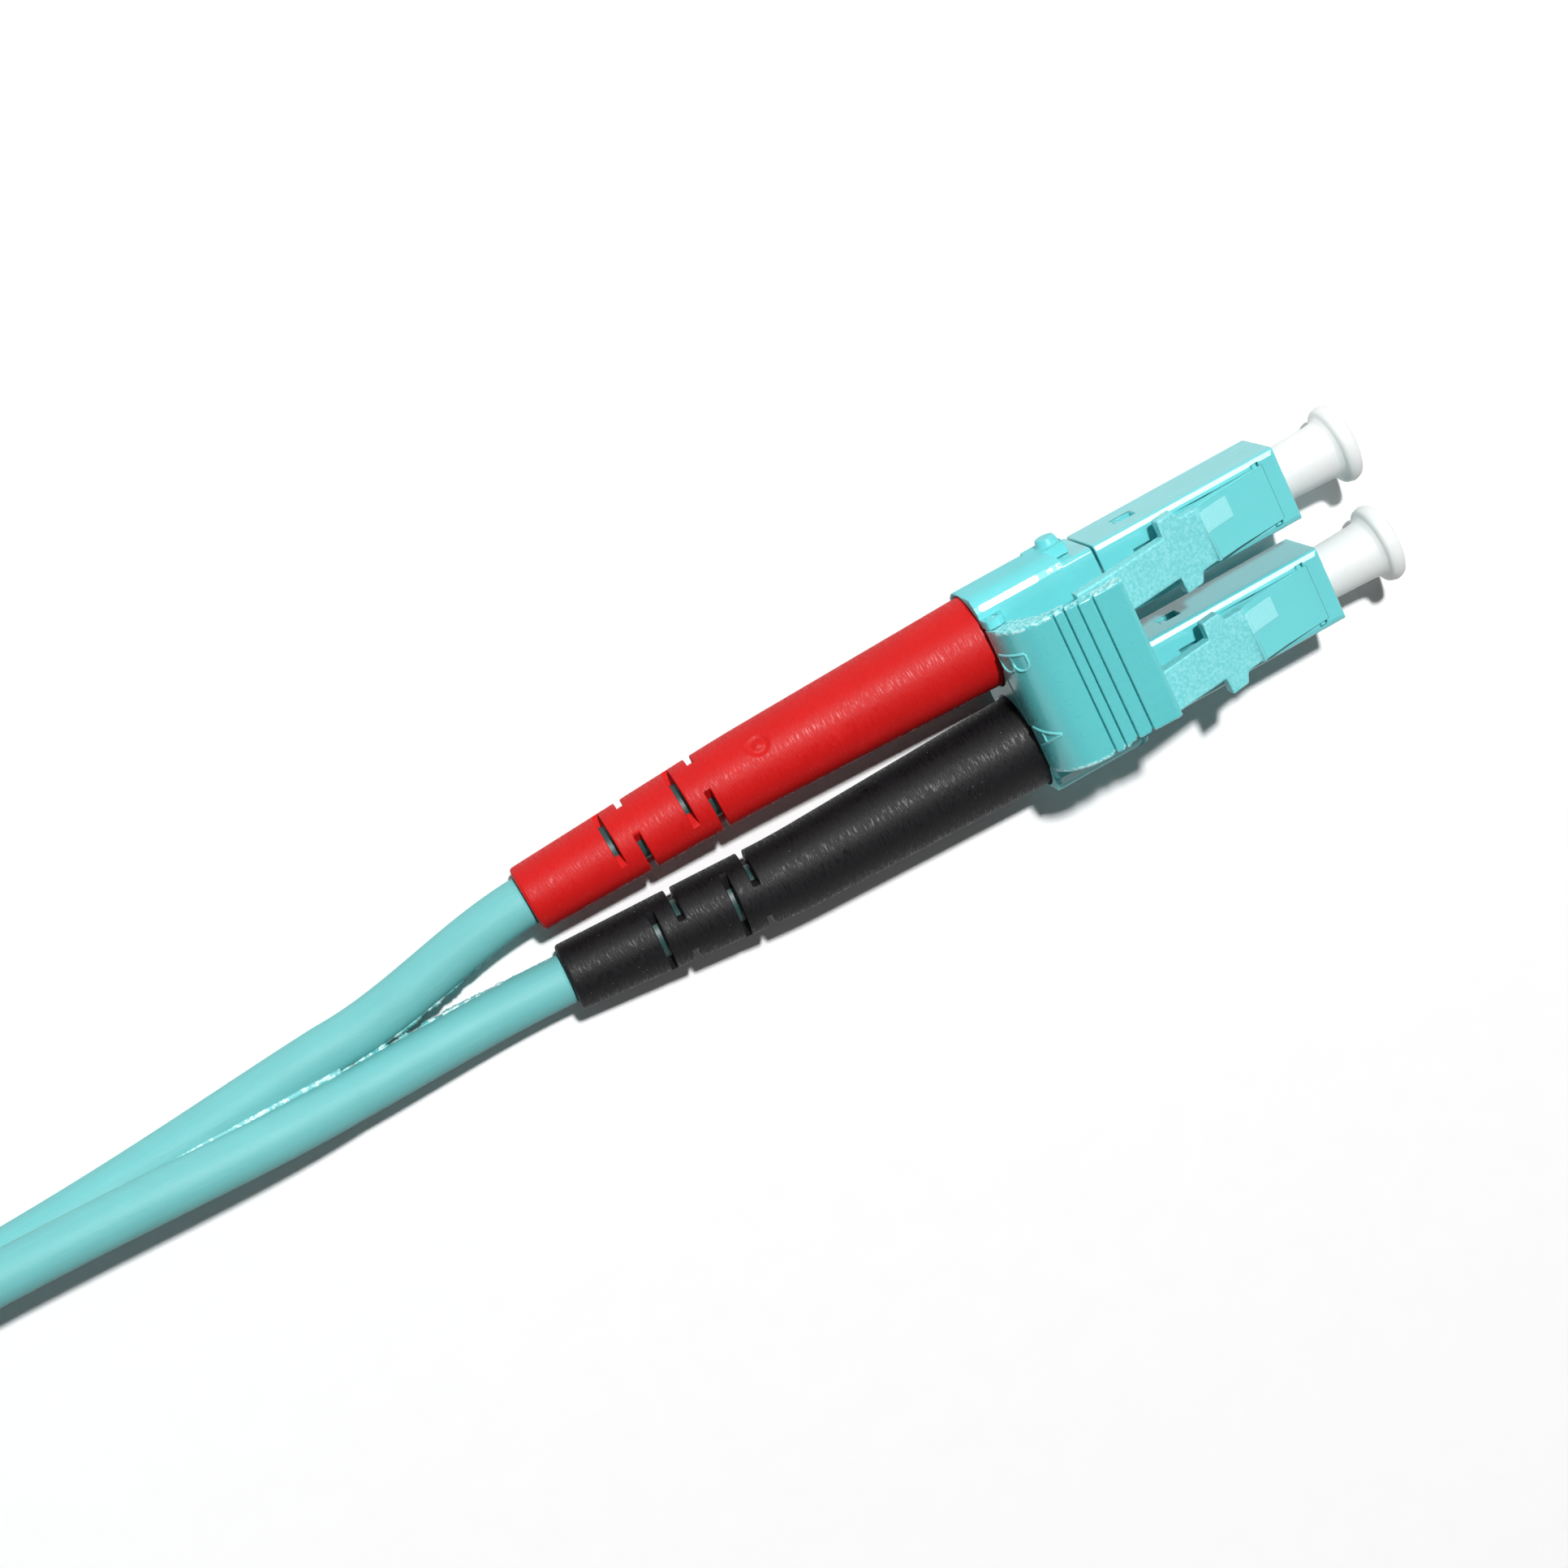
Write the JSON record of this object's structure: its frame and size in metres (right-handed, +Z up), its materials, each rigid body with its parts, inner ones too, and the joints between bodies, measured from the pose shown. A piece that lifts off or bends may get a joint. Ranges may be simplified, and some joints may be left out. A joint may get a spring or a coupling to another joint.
{
  "type": "fiber optic patch cord",
  "caption": "Twin fibre patch cord: square plugs paired in latching clips with a shared trigger, slotted boots, dust caps and a coiled zip cord.",
  "frame": {"origin": "centre of the near end's bounding box, on the surface that its clip stands on; the cord and its far end are left out", "axes": "+X along the near plugs towards the ferrule tips, +Y from plug A to plug B, +Z up, on the latch side"},
  "size_m": [0.1819, 0.0657, 0.0213],
  "materials": {
    "aqua_body": "glossy moulded",
    "aqua_latch": "fine spark-eroded satin",
    "aqua_clip": "glossy moulded",
    "aqua_trigger": "glossy moulded",
    "ceramic": "polished zirconia",
    "plated_metal": "turned, nickel plated",
    "spring_steel": "bright wire",
    "crimp_metal": "plated and crimped",
    "buffer": "smooth tight buffer",
    "cord_jacket": "satin extruded jacket",
    "black_boot": "satin elastomer",
    "red_boot": "satin elastomer",
    "white_cap": "slightly translucent"
  },
  "bodies": {
    "cord_set": {"housing_a": "aqua_body", "housing_b": "aqua_body", "spring_a": "spring_steel", "spring_b": "spring_steel", "back_body_a": "aqua_body", "back_body_b": "aqua_body", "crimp_sleeve_a": "crimp_metal", "crimp_sleeve_b": "crimp_metal", "buffer_a": "buffer", "buffer_b": "buffer", "jacket_a": "cord_jacket", "jacket_b": "cord_jacket", "boot_a": "black_boot", "boot_b": "red_boot", "duplex_clip": "aqua_clip", "far_housing_a": "aqua_body", "far_housing_b": "aqua_body", "far_spring_a": "spring_steel", "far_spring_b": "spring_steel", "far_back_body_a": "aqua_body", "far_back_body_b": "aqua_body", "far_crimp_sleeve_a": "crimp_metal", "far_crimp_sleeve_b": "crimp_metal", "far_jacket_a": "cord_jacket", "far_jacket_b": "cord_jacket", "far_boot_a": "black_boot", "far_boot_b": "red_boot", "far_duplex_clip": "aqua_clip", "leg_a": "cord_jacket", "leg_b": "cord_jacket", "zip_lead": "cord_jacket", "zip_coil": "cord_jacket", "zip_tail": "cord_jacket", "far_leg_a": "cord_jacket", "far_leg_b": "cord_jacket"},
    "trigger": {"trigger": "aqua_trigger"},
    "latch_arm_a": {"latch_arm_a": "aqua_latch"},
    "ferrule_set_a": {"ferrule_a": "ceramic", "flange_a": "plated_metal"},
    "dust_cap_a": {"dust_cap_a": "white_cap"},
    "latch_arm_b": {"latch_arm_b": "aqua_latch"},
    "ferrule_set_b": {"ferrule_b": "ceramic", "flange_b": "plated_metal"},
    "dust_cap_b": {"dust_cap_b": "white_cap"},
    "far_trigger": {"far_trigger": "aqua_trigger"},
    "far_latch_arm_a": {"far_latch_arm_a": "aqua_latch"},
    "far_ferrule_set_a": {"far_ferrule_a": "ceramic", "far_flange_a": "plated_metal"},
    "far_dust_cap_a": {"far_dust_cap_a": "white_cap"},
    "far_latch_arm_b": {"far_latch_arm_b": "aqua_latch"},
    "far_ferrule_set_b": {"far_ferrule_b": "ceramic", "far_flange_b": "plated_metal"},
    "far_dust_cap_b": {"far_dust_cap_b": "white_cap"}
  },
  "joints": [
    {"name": "trigger_hinge", "type": "hinge", "parent": "cord_set", "child": "trigger", "pos_m": [0.00297, 0, 0.00585], "axis": [0, 1, 0], "range_deg": [0, 8.46], "stiffness_Nm_per_rad": 0.02},
    {"name": "latch_arm_a_hinge", "type": "hinge", "parent": "cord_set", "child": "latch_arm_a", "pos_m": [0.01992, -0.00313, 0.00482], "axis": [0, -1, 0], "range_deg": [0, 5.5], "stiffness_Nm_per_rad": 0.02},
    {"name": "ferrule_a_slide", "type": "slide", "parent": "cord_set", "child": "ferrule_set_a", "axis": [-1, 0, 0], "range_m": [0, 0.0008], "stiffness_N_per_m": 150, "deforming": ["spring_a"]},
    {"name": "dust_cap_a_pull", "type": "slide", "parent": "cord_set", "child": "dust_cap_a", "axis": [1, 0, 0], "range_m": [0, 0.012]},
    {"name": "latch_arm_b_hinge", "type": "hinge", "parent": "cord_set", "child": "latch_arm_b", "pos_m": [0.01992, 0.00313, 0.00482], "axis": [0, -1, 0], "range_deg": [0, 5.5], "stiffness_Nm_per_rad": 0.02},
    {"name": "ferrule_b_slide", "type": "slide", "parent": "cord_set", "child": "ferrule_set_b", "axis": [-1, 0, 0], "range_m": [0, 0.0008], "stiffness_N_per_m": 150, "deforming": ["spring_b"]},
    {"name": "dust_cap_b_pull", "type": "slide", "parent": "cord_set", "child": "dust_cap_b", "axis": [1, 0, 0], "range_m": [0, 0.012]},
    {"name": "far_trigger_hinge", "type": "hinge", "parent": "cord_set", "child": "far_trigger", "pos_m": [-0.08303, 0.0527, 0.01772], "axis": [0, 1, 0], "range_deg": [0, 8.46], "stiffness_Nm_per_rad": 0.02},
    {"name": "far_latch_arm_a_hinge", "type": "hinge", "parent": "cord_set", "child": "far_latch_arm_a", "pos_m": [-0.06608, 0.04958, 0.01669], "axis": [0, -1, 0], "range_deg": [0, 5.5], "stiffness_Nm_per_rad": 0.02},
    {"name": "far_ferrule_a_slide", "type": "slide", "parent": "cord_set", "child": "far_ferrule_set_a", "axis": [-1, 0, 0], "range_m": [0, 0.0008], "stiffness_N_per_m": 150, "deforming": ["far_spring_a"]},
    {"name": "far_dust_cap_a_pull", "type": "slide", "parent": "cord_set", "child": "far_dust_cap_a", "axis": [1, 0, 0], "range_m": [0, 0.012]},
    {"name": "far_latch_arm_b_hinge", "type": "hinge", "parent": "cord_set", "child": "far_latch_arm_b", "pos_m": [-0.06608, 0.05582, 0.01669], "axis": [0, -1, 0], "range_deg": [0, 5.5], "stiffness_Nm_per_rad": 0.02},
    {"name": "far_ferrule_b_slide", "type": "slide", "parent": "cord_set", "child": "far_ferrule_set_b", "axis": [-1, 0, 0], "range_m": [0, 0.0008], "stiffness_N_per_m": 150, "deforming": ["far_spring_b"]},
    {"name": "far_dust_cap_b_pull", "type": "slide", "parent": "cord_set", "child": "far_dust_cap_b", "axis": [1, 0, 0], "range_m": [0, 0.012]}
  ],
  "couplings": [
    {"joint": "latch_arm_a_hinge", "follows": "trigger_hinge", "ratio": 0.65},
    {"joint": "latch_arm_b_hinge", "follows": "trigger_hinge", "ratio": 0.65},
    {"joint": "far_latch_arm_a_hinge", "follows": "far_trigger_hinge", "ratio": 0.65},
    {"joint": "far_latch_arm_b_hinge", "follows": "far_trigger_hinge", "ratio": 0.65}
  ]
}
